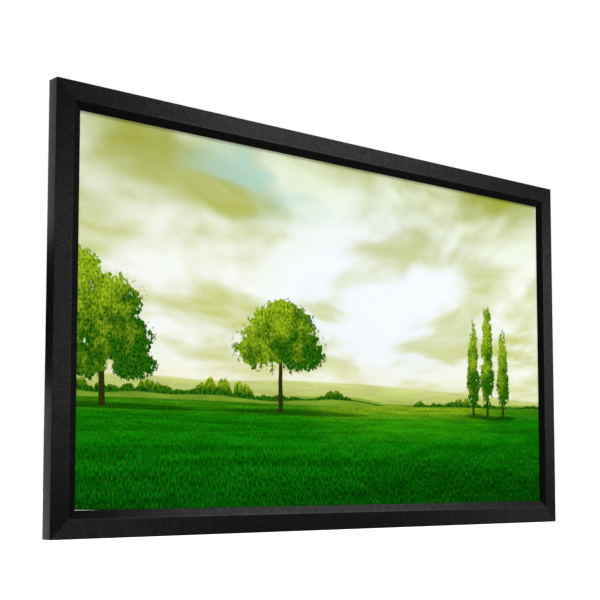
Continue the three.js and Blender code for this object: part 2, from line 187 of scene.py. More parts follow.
# Camera
camera_data = bpy.data.cameras.new("camera")
camera_data.sensor_width = 36.0
camera_data.lens = CAMERA_LENS
camera_data.shift_y = CAMERA_SHIFT
camera_data.clip_end = 200.0
camera = new_object("camera", camera_data)
camera.location = CAMERA_PLACE
camera_direction = Vector((
    math.sin(CAMERA_YAW) * math.cos(CAMERA_PITCH),
    math.cos(CAMERA_YAW) * math.cos(CAMERA_PITCH),
    math.sin(CAMERA_PITCH),
))
camera.rotation_euler = aimed(camera_direction)
bpy.context.scene.camera = camera


# Mesh helpers
SMOOTH_ANGLE = 40.0


def mesh_object(
    name, points, faces, materials, face_materials=None, uvs=None, smooth_angle=SMOOTH_ANGLE
):
    """A mesh object from points and faces, smooth across edges flatter than smooth_angle."""
    mesh = bpy.data.meshes.new(name)
    mesh.from_pydata([tuple(point) for point in points], [], faces)
    for material in materials:
        mesh.materials.append(material)
    if face_materials:
        mesh.polygons.foreach_set("material_index", face_materials)
    if uvs:
        layer = mesh.uv_layers.new(name="OFBake")
        layer.data.foreach_set("uv", [number for corner in uvs for number in corner])
    shape = bmesh.new()
    shape.from_mesh(mesh)
    bmesh.ops.recalc_face_normals(shape, faces=shape.faces[:])
    shape.to_mesh(mesh)
    shape.free()
    mesh.polygons.foreach_set("use_smooth", [True] * len(mesh.polygons))
    mesh.set_sharp_from_angle(angle=math.radians(smooth_angle))
    return new_object(name, mesh)


def joined(parts):
    """Several (points, faces) as one."""
    points, faces = [], []
    for part_points, part_faces in parts:
        start = len(points)
        points += part_points
        faces += [tuple(start + index for index in face) for face in part_faces]
    return points, faces


def tube(path, radius, sides):
    """A round bar along a path, closed at both ends, as (points, faces). radius may be a list."""
    count = len(path)
    radii = radius if isinstance(radius, list) else [radius] * count
    tangents = [(path[min(i + 1, count - 1)] - path[max(i - 1, 0)]).normalized() for i in range(count)]
    normal = tangents[0].orthogonal().normalized()
    points = []
    for place, tangent, reach in zip(path, tangents, radii):
        normal = (normal - tangent * normal.dot(tangent)).normalized()
        binormal = tangent.cross(normal)
        for step in range(sides):
            angle = 2 * math.pi * step / sides
            points.append(place + reach * (math.cos(angle) * normal + math.sin(angle) * binormal))
    faces = []
    for ring in range(count - 1):
        for step in range(sides):
            following = (step + 1) % sides
            a, b = ring * sides, (ring + 1) * sides
            faces.append((a + step, a + following, b + following, b + step))
    faces.append(tuple(reversed(range(sides))))
    faces.append(tuple((count - 1) * sides + step for step in range(sides)))
    return points, faces


# Material helpers: a node tree written as arithmetic
def srgb(red, green, blue):
    """A colour as it is seen, from 0 to 255, as the linear colour that a node takes."""
    def linear(part):
        part /= 255
        return part / 12.92 if part <= 0.04045 else ((part + 0.055) / 1.055) ** 2.4
    return (linear(red), linear(green), linear(blue), 1.0)


class Field:
    """A number, colour or vector that varies over a surface. Arithmetic on it adds nodes."""

    def __init__(self, tree, socket):
        self.tree = tree
        self.socket = socket

    def math(self, operation, *others):
        node = self.tree.nodes.new("ShaderNodeMath")
        node.operation = operation
        for socket, item in zip(node.inputs, (self, *others)):
            feed(self.tree, socket, item)
        return Field(self.tree, node.outputs[0])

    def __add__(self, other):
        return self.math("ADD", other)

    def __sub__(self, other):
        return self.math("SUBTRACT", other)

    def __rsub__(self, other):
        return (self * -1.0) + other

    def __mul__(self, other):
        return self.math("MULTIPLY", other)

    def __truediv__(self, other):
        return self.math("DIVIDE", other)

    def __pow__(self, other):
        return self.math("POWER", other)

    def least(self, other):
        return self.math("MINIMUM", other)

    def most(self, other):
        return self.math("MAXIMUM", other)

    def size(self):
        return self.math("ABSOLUTE")

    def squared(self):
        return self * self

    def rise(self, start, end, low=0.0, high=1.0, smooth=True):
        """low where this is under start, high where it is over end, and eased between."""
        node = self.tree.nodes.new("ShaderNodeMapRange")
        node.interpolation_type = "SMOOTHSTEP" if smooth else "LINEAR"
        for name, item in (("Value", self), ("From Min", start), ("From Max", end),
                           ("To Min", low), ("To Max", high)):
            feed(self.tree, node.inputs[name], item)
        return Field(self.tree, node.outputs["Result"])


def feed(tree, socket, item):
    """Links a field to a node's input, or sets the input to a plain value."""
    if isinstance(item, Field):
        tree.links.new(item.socket, socket)
    else:
        socket.default_value = item


def vector(x, y, z=0.0):
    """A vector from three parts, at least one of them a field."""
    tree = next(part.tree for part in (x, y, z) if isinstance(part, Field))
    node = tree.nodes.new("ShaderNodeCombineXYZ")
    for socket, item in zip(node.inputs, (x, y, z)):
        feed(tree, socket, item)
    return Field(tree, node.outputs[0])


def noise(place, scale=1.0, detail=2.0, roughness=0.5, warp=0.0, flat=True):
    """Soft noise from 0 to 1 around 0.5, over two directions if flat."""
    node = place.tree.nodes.new("ShaderNodeTexNoise")
    node.noise_dimensions = "2D" if flat else "3D"
    for name, item in (("Vector", place), ("Scale", scale), ("Detail", detail),
                       ("Roughness", roughness), ("Distortion", warp)):
        feed(place.tree, node.inputs[name], item)
    return Field(place.tree, node.outputs["Fac"])


def mix(factor, low, high):
    """The colour low where factor is 0 and high where it is 1."""
    node = factor.tree.nodes.new("ShaderNodeMix")
    node.data_type = "RGBA"
    colours = [socket for socket in node.inputs if socket.type == "RGBA"]
    feed(factor.tree, node.inputs["Factor"], factor)
    feed(factor.tree, colours[0], low)
    feed(factor.tree, colours[1], high)
    return Field(factor.tree, next(socket for socket in node.outputs if socket.type == "RGBA"))


def scaled(colour, factor):
    """A colour made darker or lighter by a number."""
    node = colour.tree.nodes.new("ShaderNodeVectorMath")
    node.operation = "SCALE"
    feed(colour.tree, node.inputs[0], colour)
    feed(colour.tree, node.inputs["Scale"], factor)
    return Field(colour.tree, node.outputs[0])


def start_material(name):
    """A new material, its shader, and the place on the surface as one field and as three."""
    material = bpy.data.materials.new(name)
    material.use_nodes = True
    tree = material.node_tree
    shader = tree.nodes["Principled BSDF"]
    coordinates = tree.nodes.new("ShaderNodeTexCoord")
    split = tree.nodes.new("ShaderNodeSeparateXYZ")
    tree.links.new(coordinates.outputs["Object"], split.inputs[0])
    place = Field(tree, coordinates.outputs["Object"])
    return material, shader, place, [Field(tree, socket) for socket in split.outputs]


def finish_material(
    shader, constants, colour=None, roughness=None, height=None, strength=None, distance=None
):
    """Sets the shader's constants, links its varying inputs and adds a bump from height."""
    tree = shader.id_data
    for name, value in constants.items():
        shader.inputs[name].default_value = value
    for name, field in (("Base Color", colour), ("Roughness", roughness)):
        if field is not None:
            feed(tree, shader.inputs[name], field)
    if height is not None:
        bump = tree.nodes.new("ShaderNodeBump")
        bump.inputs["Strength"].default_value = strength
        bump.inputs["Distance"].default_value = distance
        feed(tree, bump.inputs["Height"], height)
        tree.links.new(bump.outputs["Normal"], shader.inputs["Normal"])


# Velvet: painted light and shade along each rail, as a factor on its colour at the rail's start,
# middle and end, from -X to +X or -Z to +Z.
# The flats carry painted sheen and shade, the bevels painted shade, and the middle of the bottom bevel
# a painted highlight.
FLAT_PAINTED_SHADING = {
    "top": (0.62, 2.15, 0.80), "right": (0.66, 1.95, 0.85),
    "bottom": (1.00, 0.44, 1.15), "left": (0.36, 1.18, 0.42),
}
BEVEL_PAINTED_SHADING = {
    "top": (0.18, 0.24, 0.18), "right": (0.18, 0.16, 0.18),
    "bottom": (0.22, 2.40, 1.00), "left": (0.14, 0.36, 0.30),
}
# Where the middle of the painted light and shade starts and ends, with the rail running from -1 to 1
MIDDLE_STRETCH = {
    "top": (-0.30, -0.05), "right": (0.15, 0.45), "bottom": (-0.35, 0.05), "left": (-0.30, 0.30),
}
# A painted highlight on the fold between flat and bevel: how much lighter it makes the velvet, and how
# far from the fold it fades
FOLD_PAINTED_HIGHLIGHT = 1.45
FOLD_HIGHLIGHT_FADE = (0.0015, 0.0045)
VELVET_BLACK = srgb(0, 0, 0)
VELVET_PALE = (0.0520, 0.0516, 0.0532, 1.0)
VELVET_RANGE = 4.0


def velvet_finish(name, side, painted_shading):
    """Black flock: a soft mottle and a fine pile, nearly without gloss, with painted light and shade
    along the rail and a painted highlight on the fold.
    """
    material, shader, place, (x, _, z) = start_material(name)
    upright = side in UPRIGHT_SIDES
    along = z / HALF_HEIGHT if upright else x / HALF_WIDTH
    inset = HALF_WIDTH - x.size() if upright else HALF_HEIGHT - z.size()
    start, middle, end = painted_shading
    middle_start, middle_end = MIDDLE_STRETCH[side]
    first_half = along.rise(-1.0, middle_start, start, middle)
    second_half = along.rise(middle_end, 1.0, 0.0, end - middle)
    # Painted highlight along the fold between flat and bevel
    fold = (inset - FLAT_WIDTH).size().rise(*FOLD_HIGHLIGHT_FADE, FOLD_PAINTED_HIGHLIGHT, 1.0)
    # tone is painted light and shade along the rail, times a painted highlight on the fold
    tone = (first_half + second_half) * fold
    mottle = noise(place, scale=38.0, detail=3.0, roughness=0.55, flat=False)
    pile = noise(place, scale=230.0, detail=3.0, roughness=0.7, flat=False)
    nap = noise(place, scale=1500.0, detail=1.0, flat=False)
    # The mottle and pile are the velvet's own; tone adds the painted light and shade
    tuft = mottle.rise(0.3, 0.7, 0.88, 1.12) * pile.rise(0.30, 0.70, 0.52, 1.48) * tone
    lightness = tuft.rise(0.0, VELVET_RANGE, smooth=False)
    finish_material(
        shader,
        {"Roughness": 1.0, "Specular IOR Level": 0.03, "Sheen Weight": 0.03,
         "Sheen Roughness": 0.35, "Sheen Tint": (0.8, 0.8, 0.85, 1.0)},
        colour=mix(lightness, VELVET_BLACK, VELVET_PALE),
        height=nap * 0.5 + pile,
        strength=0.5,
        distance=0.0008,
    )
    return material


def profile_finish(name, runs_upright):
    """Black anodised profile with fine lines along its length."""
    material, shader, _, (x, y, z) = start_material(name)
    along, across = (z, x) if runs_upright else (x, z)
    lines = noise(vector(along * 3.0, across * 900.0, y * 900.0), flat=False)
    finish_material(
        shader,
        {"Specular IOR Level": 0.11},
        colour=mix(lines.rise(0.3, 0.7), srgb(13, 13, 14), srgb(20, 20, 22)),
        roughness=lines.rise(0.2, 0.8, 0.16, 0.24),
        height=lines,
        strength=0.06,
        distance=0.0003,
    )
    return material


def metal_finish(name, dark, light, roughness, grain, blotch, metallic=1.0):
    """Metal with fine lines: grain gives how closely they lie along X, Y and Z."""
    material, shader, place, (x, y, z) = start_material(name)
    line_place = vector(x * grain[0], y * grain[1], z * grain[2])
    lines = noise(line_place, detail=3.0, roughness=0.6, flat=False)
    cloud = noise(place, blotch, detail=3.0, roughness=0.6, flat=False)
    tone = lines.rise(0.3, 0.7) * 0.5 + cloud.rise(0.3, 0.7) * 0.5
    finish_material(
        shader,
        {"Metallic": metallic},
        colour=mix(tone, dark, light),
        roughness=tone.rise(0.0, 1.0, *roughness),
        height=lines,
        strength=0.08,
        distance=0.0004,
    )
    return material


profile_across = profile_finish("profile_across", runs_upright=False)
profile_upright = profile_finish("profile_upright", runs_upright=True)
zinc = metal_finish(
    "zinc_plate", srgb(150, 153, 158), srgb(186, 189, 194),
    roughness=(0.30, 0.46), grain=(160.0, 160.0, 160.0), blotch=55.0,
)
black_screw = metal_finish(
    "black_oxide", srgb(40, 40, 43), srgb(66, 66, 70),
    roughness=(0.32, 0.45), grain=(700.0, 700.0, 700.0), blotch=200.0, metallic=0.85,
)
black_bar = metal_finish(
    "black_bar_finish", srgb(26, 26, 28), srgb(40, 40, 43),
    roughness=(0.38, 0.5), grain=(900.0, 900.0, 4.0), blotch=9.0, metallic=0.3,
)
aluminium = metal_finish(
    "mill_aluminium", srgb(170, 172, 176), srgb(206, 208, 211),
    roughness=(0.28, 0.42), grain=(3.0, 900.0, 900.0), blotch=20.0,
)


def rod_finish():
    """Pale glass fibre: fine streaks along the rod under a thin gloss."""
    material, shader, _, (x, y, z) = start_material("glass_fibre")
    upright_from = HALF_WIDTH - ROD_INSET - 4 * ROD_RADIUS
    upright = x.size().rise(upright_from, upright_from + 0.001)
    long_streak, close_streak = 6.0, 2600.0
    along_x = noise(vector(x * long_streak, y * close_streak, z * close_streak), flat=False)
    along_z = noise(vector(x * close_streak, y * close_streak, z * long_streak), flat=False)
    streak = along_x * (1.0 - upright) + along_z * upright
    finish_material(
        shader,
        {"Roughness": 0.38, "Coat Weight": 0.25, "Coat Roughness": 0.3},
        colour=mix(streak.rise(0.3, 0.7), srgb(176, 164, 120), srgb(222, 214, 178)),
        height=streak,
        strength=0.15,
        distance=0.0003,
    )
    return material


glass_fibre = rod_finish()


def plain_fabric(name, dark, light):
    """Coated cloth with a fine grain."""
    material, shader, place, _ = start_material(name)
    grain = noise(place, scale=2400.0, flat=False)
    cloud = noise(place, scale=14.0, detail=3.0, flat=False)
    tone = grain * 0.7 + cloud * 0.3
    finish_material(
        shader,
        {"Roughness": 0.72, "Specular IOR Level": 0.25},
        colour=mix(tone.rise(0.35, 0.65), dark, light),
        height=grain,
        strength=0.2,
        distance=0.0003,
    )
    return material


BARE_FABRIC = srgb(238, 238, 235)
fabric_face = plain_fabric("fabric_face", srgb(226, 227, 224), BARE_FABRIC)
fabric_back = plain_fabric("fabric_back", srgb(20, 20, 21), srgb(30, 30, 32))

# The picture thrown on the fabric is a plain design of sky, hills, meadow and trees. A place in
# it is given by across (0 at the middle) and up (0 at the bottom edge, 1 at the top edge), both
# in picture heights.
HORIZON = 0.285
PICTURE_LIGHT = 0.86
CLOUD_NOISE = {"scale": 1.9, "detail": 5.0, "roughness": 0.38, "warp": 0.20}

# Colours of the picture. Pairs go from low to high in clouds and far hills, left to right in the
# haze, down the slope in near hills, dark to light in leaves and sides to glade in grass.
CLOUD_SHADE = (srgb(198, 204, 122), srgb(154, 162, 52))
CLOUD_LIGHT = (srgb(242, 245, 240), srgb(224, 233, 206))
CLOUD_GLOW = srgb(237, 243, 252)
SKY_GAP = srgb(168, 208, 198)
LOW_HAZE = (srgb(242, 238, 204), srgb(224, 225, 158))
FAR_HILLS = (srgb(170, 186, 84), srgb(203, 211, 136))
NEAR_HILLS = (srgb(128, 160, 48), srgb(92, 142, 22))
SHADED_LEAVES = (srgb(4, 52, 4), srgb(44, 112, 8))
LIT_LEAVES = (srgb(70, 128, 8), srgb(176, 196, 34))
EDGE_GRASS = (srgb(52, 122, 8), srgb(124, 158, 26))
FAR_GRASS = (srgb(16, 112, 3), srgb(44, 136, 5))
MIDDLE_GRASS = srgb(10, 106, 3)
NEAR_GRASS = srgb(3, 74, 4)
DRY_GRASS = srgb(86, 156, 26)
TREE_SHADE = srgb(8, 58, 2)
BARK = srgb(42, 48, 12)

# Slivers of bare fabric beside the picture, at the upper right edge and the bottom left corner:
# their width, where they fade out, and how far the picture runs on behind the frame elsewhere
RIGHT_STRIP = 0.0040
RIGHT_STRIP_FROM = 0.60
LOW_STRIP = 0.0018
LOW_STRIP_LENGTH = 0.160
HIDDEN_EDGE = -0.002
STRIP_BLUR = 0.0004


def sky(across, up):
    """Soft clouds that grow with height, from cream at the horizon to olive at the top."""
    climb = up.rise(HORIZON, 1.0, smooth=False)
    spread = (climb + 0.75) ** -1.0
    cloud_across = across * spread * 2.0
    cloud_up = spread * 3.6
    bank = noise(vector(cloud_across, cloud_up), **CLOUD_NOISE)
    toward_sun = noise(vector(cloud_across + 0.03, cloud_up + 0.06), **CLOUD_NOISE)
    wisp_place = vector(cloud_across + 7.0, spread * 7.0)
    wisp = noise(wisp_place, scale=1.5, detail=3.0, roughness=0.4, warp=0.5)
    body = bank.rise(0.32, 0.66)
    relief = (bank - toward_sun) * 1.5
    light = (body * 0.88 + relief + wisp * 0.16 + 0.03).rise(0.0, 1.0, smooth=False)
    high = climb.rise(0.45, 1.05)
    clouds = mix(light, mix(high, *CLOUD_SHADE), mix(high, *CLOUD_LIGHT))
    glow_reach = (across - 0.18).squared() + (up - 0.60).squared() * 2.4
    glow = glow_reach.rise(0.0, 0.34, 0.80, 0.0) * light.rise(0.1, 0.8, 0.30, 1.0)
    bright = mix(glow, clouds, CLOUD_GLOW)
    gap_reach = (across + 0.30).squared() * 0.8 + (up - 0.90).squared() * 5.0
    gap = gap_reach.rise(0.0, 0.10, 1.0, 0.0) * wisp.rise(0.38, 0.60, 1.0, 0.0)
    opened = mix(gap * 0.75, bright, SKY_GAP)
    low_band = climb.rise(0.0, 0.26, 0.90, 0.0) * wisp.rise(0.35, 0.65, 0.5, 1.0)
    return mix(low_band, opened, mix(across.rise(-0.6, 0.9), *LOW_HAZE))


def ridge(across, height, sway, scale, seed):
    """The height of a hill's edge, which rises and falls by up to half of sway."""
    return (noise(vector(across + seed, 0.0), scale) - 0.5) * sway + height


def crowns(across, pitch, seed):
    """A row of round heads, 0 between them and up to 1 at a head's top."""
    tree = across.tree
    node = tree.nodes.new("ShaderNodeTexVoronoi")
    node.voronoi_dimensions = "1D"
    feed(tree, node.inputs["W"], across + seed)
    node.inputs["Scale"].default_value = 1.0 / pitch
    reach = Field(tree, node.outputs["Distance"])
    return (1.0 - (reach.squared() * 3.2).least(1.0)).math("SQRT")


def leaves(across, up, scale, seed):
    """Mottled foliage."""
    return noise(vector(across + seed, up * 0.75), scale, detail=3.0, roughness=0.7)


def foliage_colour(mottle, sun):
    """Deep green in the shade and yellow green where the light falls."""
    shine = mottle.rise(0.32, 0.66)
    return mix(sun, mix(shine, *SHADED_LEAVES), mix(shine, *LIT_LEAVES))


def hills(across, up, behind):
    """Two hazy ridges with hedges on the nearer one."""
    far = ridge(across, height=0.345, sway=0.075, scale=1.1, seed=3.1)
    fields = noise(vector(across * 3.0, up * 22.0), scale=2.2, detail=3.0, roughness=0.6)
    haze = scaled(mix(up.rise(HORIZON, 0.36), *FAR_HILLS), fields.rise(0.3, 0.7, 0.90, 1.08))
    seen = mix((far - up).rise(-0.003, 0.005), behind, haze)
    near = ridge(across, height=0.310, sway=0.055, scale=2.0, seed=8.4)
    slope = scaled(mix((near - up).rise(0.0, 0.05), *NEAR_HILLS), fields.rise(0.3, 0.7, 0.80, 1.16))
    seen = mix((near - up).rise(-0.002, 0.003), seen, slope)
    parts = noise(vector(across, 0.0), scale=3.3, detail=1.0).rise(0.42, 0.62)
    heads = crowns(across, 0.040, seed=0.4) * 0.026 + crowns(across, 0.015, seed=5.2) * 0.012
    mottle = leaves(across, up, scale=120.0, seed=1.0)
    top = near + heads * parts + parts * 0.006 + (mottle - 0.5) * 0.014 * parts - 0.006
    hedge = (top - up).rise(0.0, 0.004) * (up - near).rise(-0.014, -0.010)
    return mix(hedge, seen, foliage_colour(mottle, (up - near).rise(-0.006, 0.034)))


def meadow(across, up, behind):
    """Upright grass, finer toward the horizon, under soft light and dark sweeps."""
    edge = ridge(across, HORIZON, sway=0.050, scale=0.9, seed=1.7)
    down = edge + across.rise(-0.2, 0.9, 0.0, 0.022) - up
    near = down + 0.055
    widen = near ** -1.0
    depth = near.math("LOGARITHM", math.e)
    lean = noise(vector(across * 3.5, 0.0), detail=1.0) - 0.5
    stalk = across + up * lean
    sweep = noise(vector(across * widen * 0.16, widen * 0.55), scale=1.5, detail=3.0, warp=0.8)
    tuft = noise(vector(across * 11.0, depth * 8.0), detail=3.0, roughness=0.6)
    close = noise(vector(stalk * 190.0, up * 72.0), detail=3.0, roughness=0.65)
    distant = noise(vector(stalk * 270.0, up * 125.0), roughness=0.6)
    blade = mix(down.rise(0.05, 0.17), distant, close)
    dry = noise(vector(stalk * 165.0 + 5.0, up * 62.0), detail=1.0)
    glade = (across - 0.28).squared().rise(0.0, 0.22, 1.0, 0.0)
    colour = mix(down.rise(0.0, 0.05), mix(glade, *EDGE_GRASS), mix(glade, *FAR_GRASS))
    colour = mix(down.rise(0.03, 0.13), colour, MIDDLE_GRASS)
    colour = mix(down.rise(0.08, 0.27), colour, NEAR_GRASS)
    colour = scaled(colour, sweep.rise(0.34, 0.66, 0.82, 1.20))
    colour = scaled(colour, tuft.rise(0.3, 0.7, 0.86, 1.15))
    strength = down.rise(0.0, 0.24, 0.60, 1.50)
    colour = scaled(colour, (blade.rise(0.28, 0.72) - 0.5) * strength * 0.85 + 1.0)
    colour = mix(dry.rise(0.62, 0.78, 0.0, 0.13) * strength, colour, DRY_GRASS)
    return mix(down.rise(-0.0015, 0.002), behind, colour)


def crown_reach(across, up, heads):
    """How far a place lies from a crown made of oval heads: under 1 is inside."""
    reach = None
    for middle, height, width, tall in heads:
        head = ((across - middle) / width).squared() + ((up - height) / tall).squared()
        reach = head if reach is None else reach.least(head)
    return reach.math("SQRT")


def tree_shape(across, up, behind, root, base, heads, trunk, leaf_scale, seed):
    """One tree: a tapered trunk, its shade on the grass and a crown of leafy heads."""
    top = max(height + tall for _, height, _, tall in heads)
    bottom = min(height - tall for _, height, _, tall in heads)
    spread = max(width for _, _, width, _ in heads)
    shade_across = (across - root - spread * 0.4).squared() / (spread * 2.2) ** 2
    shade_reach = shade_across + (up - base).squared() / 0.010 ** 2
    dimmed = mix(shade_reach.rise(0.2, 1.0, 0.72, 0.0), behind, TREE_SHADE)
    lean = noise(vector(up, 0.0), scale=5.0, detail=1.0) * 0.02 - 0.01
    girth = (up - base).rise(0.0, top - base, trunk, trunk * 0.35, smooth=False)
    on_trunk = ((across - root + lean).size() - girth).rise(-0.0008, 0.0012, 1.0, 0.0)
    above_root = (up - base).rise(-0.003, 0.0)
    under_top = (up - (bottom + top) / 2).rise(0.0, 0.02, 1.0, 0.0)
    seen = mix(on_trunk * (above_root * under_top), dimmed, BARK)
    mottle = leaves(across, up, leaf_scale, seed)
    leaf = leaves(across, up, leaf_scale * 2.4, seed + 20.0)
    clump = noise(vector(across + seed, up), leaf_scale * 0.26, detail=3.0, roughness=0.55)
    reach = crown_reach(across, up, heads)
    edge = reach + (mottle - 0.5) * 0.90 + (clump - 0.5) * 0.90 + (leaf - 0.5) * 0.35
    gaps = (mottle * 0.5 + clump * 0.4 + leaf * 0.1 + (0.8 - reach) * 0.08).rise(0.35, 0.39)
    inside = edge.rise(0.91, 1.01, 1.0, 0.0) * gaps
    height_share = (up - bottom) / (top - bottom)
    side_share = (across - root) / spread
    sun = clump * 1.2 + height_share * 0.60 - side_share * 0.20 - 0.56 + (mottle - 0.5) * 0.3
    return mix(inside, seen, foliage_colour(leaf, sun.rise(0.05, 0.70)))


BROAD_TREE = {
    "root": -0.235, "base": 0.262, "trunk": 0.0085, "leaf_scale": 62.0, "seed": 2.0,
    "heads": [
        (-0.235, 0.455, 0.150, 0.080), (-0.318, 0.430, 0.080, 0.052), (-0.150, 0.435, 0.080, 0.054),
        (-0.278, 0.505, 0.080, 0.054), (-0.185, 0.510, 0.080, 0.054), (-0.230, 0.545, 0.058, 0.040),
    ],
}
GROVE = {
    "root": -0.815, "base": 0.262, "trunk": 0.0095, "leaf_scale": 62.0, "seed": 11.0,
    "heads": [
        (-0.860, 0.470, 0.140, 0.110), (-0.755, 0.430, 0.092, 0.078), (-0.790, 0.530, 0.095, 0.075),
        (-0.900, 0.590, 0.090, 0.065), (-0.725, 0.378, 0.075, 0.050), (-0.860, 0.375, 0.080, 0.050),
    ],
}
SLIM_TREES = [
    {"root": 0.565, "base": 0.275, "trunk": 0.0050, "leaf_scale": 74.0, "seed": 4.0,
     "heads": [(0.565, 0.440, 0.024, 0.135), (0.566, 0.385, 0.030, 0.080)]},
    {"root": 0.632, "base": 0.270, "trunk": 0.0055, "leaf_scale": 74.0, "seed": 6.0,
     "heads": [(0.632, 0.475, 0.027, 0.165), (0.631, 0.405, 0.034, 0.095)]},
    {"root": 0.708, "base": 0.272, "trunk": 0.0050, "leaf_scale": 74.0, "seed": 9.0,
     "heads": [(0.708, 0.430, 0.024, 0.125), (0.709, 0.380, 0.030, 0.075)]},
]


def picture():
    """The fabric's front with the picture on it, and bare fabric round the picture."""
    material, shader, _, (x, _, z) = start_material("picture")
    across = x / VIEW_HEIGHT
    up = z / VIEW_HEIGHT + 0.5
    colour = meadow(across, up, hills(across, up, sky(across, up)))
    for tree in [*SLIM_TREES, GROVE, BROAD_TREE]:
        colour = tree_shape(across, up, colour, **tree)
    right_gap = up.rise(RIGHT_STRIP_FROM, 1.0, HIDDEN_EDGE, RIGHT_STRIP, smooth=False)
    from_left = x + VIEW_WIDTH / 2
    low_gap = from_left.rise(0.0, LOW_STRIP_LENGTH, LOW_STRIP, HIDDEN_EDGE, smooth=False)
    past_right = (x - VIEW_WIDTH / 2 + right_gap).rise(-STRIP_BLUR, STRIP_BLUR)
    below = (low_gap - z - VIEW_HEIGHT / 2).rise(-STRIP_BLUR, STRIP_BLUR)
    colour = mix(past_right.most(below), scaled(colour, PICTURE_LIGHT), BARE_FABRIC)
    finish_material(shader, {"Roughness": 0.8, "Specular IOR Level": 0.0}, colour=colour)
    return material


picture_face = picture()


# Frame nodes that keep their own shape: the small round along their edges, and their finish
KEPT_NODES = {
    "corner_plate": (0.0004, zinc),
    "corner_screw": (0.00025, black_screw),
    "support_bar": (0.0006, black_bar),
    "support_angle": (0.0004, zinc),
    "support_screw": (0.0003, black_screw),
    "wall_bracket": (0.0004, aluminium),
}
WELD_DISTANCE = 0.00001


def finish_node(node, edge_round, finish):
    """Rounds a CAD node's edges and gives it its finish."""
    weld = node.modifiers.new("weld", "WELD")
    weld.merge_threshold = WELD_DISTANCE
    bevel = node.modifiers.new("edge_round", "BEVEL")
    bevel.width = edge_round
    bevel.segments = 2
    bevel.limit_method = "ANGLE"
    bevel.angle_limit = math.radians(SMOOTH_ANGLE)
    node.material_slots[0].material = finish


for node_name, cad_node in frame["nodes"].items():
    for kind, look in KEPT_NODES.items():
        if node_name.startswith(kind):
            finish_node(cad_node, *look)


# Rails
FLAT_LOOK, BEVEL_LOOK, BARE_LOOK = 0, 1, 2

# A rail's flat map: a row for each half of the outside, and above them the faces that nobody
# sees, of the chamber and the ends
MAP_LEFT = 0.01
MAP_LOW = 0.005
MAP_LENGTH = 0.98
MAP_ROW_HEIGHT = 0.485
MAP_ROW_STEP = 0.49
MAP_CHAMBER = 0.985
MAP_CHAMBER_SCALE = 0.2
MAP_CHAMBER_STEP = 0.001
MAP_ENDS = 0.991
MAP_END_STEP = 0.01


def rail_corners():
    """The section's corners as (inset, depth, round, look of the stretch after it)."""
    fine = FINE_ROUND
    lip_inset = RAIL_WIDTH - RAIL_WALL
    lip_depth = RAIL_WALL + BEVEL_DROP * (1 - RAIL_WALL / (RAIL_WIDTH - FLAT_WIDTH))
    rib_end = RIB_START + RAIL_WALL
    toe_inset = RIB_START - RIB_TOE
    toe_depth = RIB_END_DEPTH - RAIL_WALL
    velvet = [
        (0.0, WRAP_END, 0.0, FLAT_LOOK), (0.0, 0.0, OUTER_ROUND, FLAT_LOOK),
        (FLAT_WIDTH, 0.0, FOLD_ROUND, BEVEL_LOOK), (RAIL_WIDTH, BEVEL_DROP, SOFT_ROUND, BEVEL_LOOK),
        (RAIL_WIDTH, NOSE_BACK, fine, BEVEL_LOOK),
    ]
    bare = [
        (lip_inset, NOSE_BACK, fine), (lip_inset, lip_depth, 0.0), (FLAT_WIDTH, RAIL_WALL, 0.0),
        (rib_end, RAIL_WALL, 0.0), (rib_end, RIB_END_DEPTH, fine), (toe_inset, RIB_END_DEPTH, fine),
        (toe_inset, toe_depth, fine), (RIB_START, toe_depth, 0.0), (RIB_START, RAIL_WALL, 0.0),
        (INNER_WALL_END, RAIL_WALL, 0.0), (INNER_WALL_END, RAIL_DEPTH, fine),
        (SLOT_END, RAIL_DEPTH, fine), (SLOT_END, CHANNEL_ROOF, fine),
        (CHANNEL_END, CHANNEL_ROOF, 0.0), (CHANNEL_END, CHANNEL_FLOOR, 0.0),
        (RAIL_WALL, CHANNEL_FLOOR, 0.0), (RAIL_WALL, CHANNEL_ROOF, 0.0),
        (SLOT_START, CHANNEL_ROOF, fine), (SLOT_START, RAIL_DEPTH, fine),
        (WRAP_THICKNESS, RAIL_DEPTH, SOFT_ROUND), (WRAP_THICKNESS, WRAP_END, 0.0),
    ]
    return velvet + [(*corner, BARE_LOOK) for corner in bare]


def rounded(corners):
    """The outline with its corners rounded, as (inset, depth, look) points."""
    outline = []
    for i, (inset, depth, reach, look) in enumerate(corners):
        here = Vector((inset, depth))
        before = (Vector(corners[i - 1][:2]) - here).normalized()
        after = (Vector(corners[(i + 1) % len(corners)][:2]) - here).normalized()
        if reach == 0.0:
            outline.append((inset, depth, look))
            continue
        half = before.angle(after) / 2
        middle = here + (before + after).normalized() * reach / math.sin(half)
        start = here + before * reach / math.tan(half) - middle
        sweep = start.angle_signed(here + after * reach / math.tan(half) - middle)
        for step in range(ROUND_STEPS + 1):
            turned = start.copy()
            angle = -sweep * step / ROUND_STEPS
            turned.x = start.x * math.cos(angle) - start.y * math.sin(angle)
            turned.y = start.x * math.sin(angle) + start.y * math.cos(angle)
            outline.append((middle.x + turned.x, middle.y + turned.y, look))
    return outline


def sunk(outline):
    """The outline with its velvet stretch a little lower, for the groove at a mitre."""
    lowered = []
    for i, (inset, depth, look) in enumerate(outline):
        before, after = outline[i - 1], outline[(i + 1) % len(outline)]
        way = Vector((after[0] - before[0], after[1] - before[1])).normalized()
        drop = 0.0 if look == BARE_LOOK else MITRE_GROOVE
        lowered.append((inset - way.y * drop, depth + way.x * drop, look))
    return lowered


def perimeter_marks(outline):
    """How far round the outline each of its points lies, and last the whole way round."""
    marks = [0.0]
    for i, (inset, depth, _) in enumerate(outline):
        after = outline[(i + 1) % len(outline)]
        marks.append(marks[-1] + math.hypot(after[0] - inset, after[1] - depth))
    return marks


